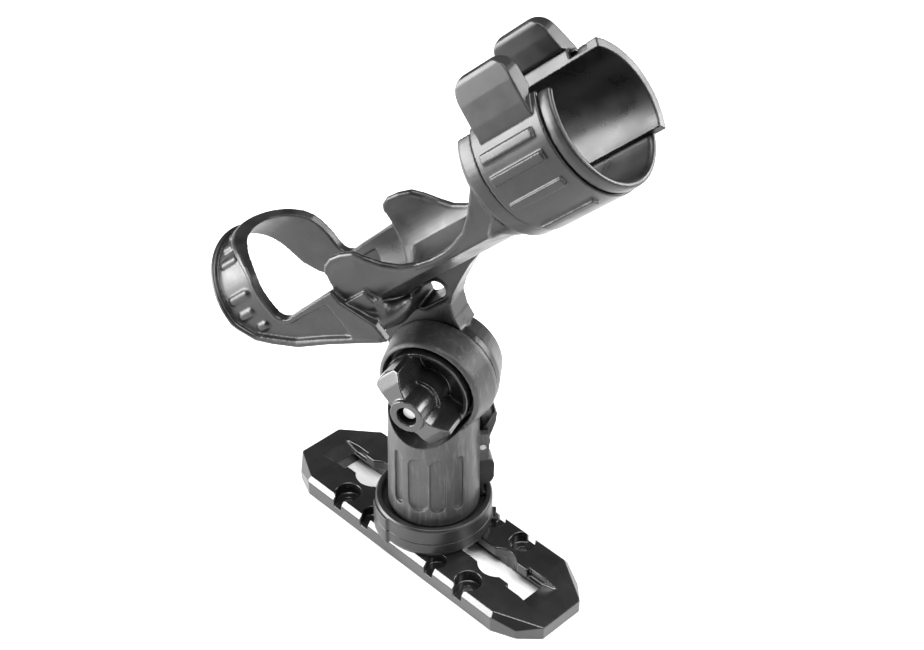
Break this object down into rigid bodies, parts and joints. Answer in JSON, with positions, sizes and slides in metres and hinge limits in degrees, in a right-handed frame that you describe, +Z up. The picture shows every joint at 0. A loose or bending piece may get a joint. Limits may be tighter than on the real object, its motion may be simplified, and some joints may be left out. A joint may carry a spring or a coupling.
{
  "type": "fishing rod holder",
  "caption": "Tilting, swivelling rod holder: an open cradle with a rear hoop and a turning lock collar, on a post whose round base slides along a slotted plate.",
  "frame": {"origin": "centre of the track plate's underside, on the axis of its four-screw pattern", "axes": "+Z up out of the mounting surface, X along the plate and its slot, the rod points towards +X, upwards"},
  "size_m": [0.1883, 0.1118, 0.2695],
  "materials": {
    "plate_plastic": "glossy moulded black",
    "base_plastic": "satin moulded black",
    "post_plastic": "coarse glass-filled charcoal",
    "cradle_plastic": "satin glass-filled black",
    "collar_plastic": "satin black",
    "gate_plastic": "satin black",
    "knob_plastic": "glossy black",
    "lever_plastic": "satin black",
    "ratchet_plastic": "bare moulded",
    "steel": "stainless",
    "brass": "turned",
    "acetal": "white acetal",
    "pad_rubber": "soft black"
  },
  "bodies": {
    "track": {"track_plate": "plate_plastic"},
    "base": {"base_lower": "base_plastic", "base_upper": "base_plastic", "base_screws": "steel", "track_bolt": "steel", "track_nut": "steel", "swivel_washer": "acetal"},
    "post": {"post_body": "post_plastic", "post_spigot": "ratchet_plastic", "spigot_screw": "steel", "lever_pin": "steel", "lever_spring": "steel", "head_ratchet": "ratchet_plastic"},
    "lever": {"release_lever": "lever_plastic"},
    "washer": {"knob_washer": "steel"},
    "knob": {"knob": "knob_plastic", "knob_insert": "brass"},
    "cradle": {"cradle_frame": "cradle_plastic", "cradle_ratchet": "ratchet_plastic", "pivot_bolt": "steel", "bolt_cap": "lever_plastic"},
    "collar": {"collar_sleeve": "collar_plastic", "collar_gate": "gate_plastic", "collar_pads": "pad_rubber"}
  },
  "joints": [
    {"name": "base_slide", "type": "slide", "parent": "track", "child": "base", "axis": [1, 0, 0], "range_m": [-0.03, 0.03]},
    {"name": "post_swivel", "type": "hinge", "parent": "base", "child": "post", "pos_m": [0, 0, 0.0275], "axis": [0, 0, 1], "range_deg": [-180, 180]},
    {"name": "lever_press", "type": "hinge", "parent": "post", "child": "lever", "pos_m": [0.01233, 0.01761, 0.058], "axis": [-0.8192, 0.5736, 0], "range_deg": [0, 3], "stiffness_Nm_per_rad": 0.6, "springref_deg": -2.86},
    {"name": "knob_turn_travel", "type": "slide", "parent": "post", "child": "washer", "axis": [0.342, -0.9397, 0], "range_m": [0, 0.0021]},
    {"name": "knob_turn", "type": "hinge", "parent": "washer", "child": "knob", "pos_m": [0, 0, 0.093], "axis": [0.342, -0.9397, 0], "range_deg": [0, 720]},
    {"name": "cradle_tilt", "type": "hinge", "parent": "post", "child": "cradle", "pos_m": [0, 0, 0.093], "axis": [0.342, -0.9397, 0], "range_deg": [-61.5, 48.5]},
    {"name": "collar_turn", "type": "hinge", "parent": "cradle", "child": "collar", "pos_m": [-0.04234, -0.01541, 0.14393], "axis": [0.7038, 0.2562, 0.6626], "range_deg": [0, 70]}
  ],
  "couplings": [
    {"joint": "knob_turn_travel", "follows": "knob_turn", "m_per_rad": 0.00015915}
  ]
}
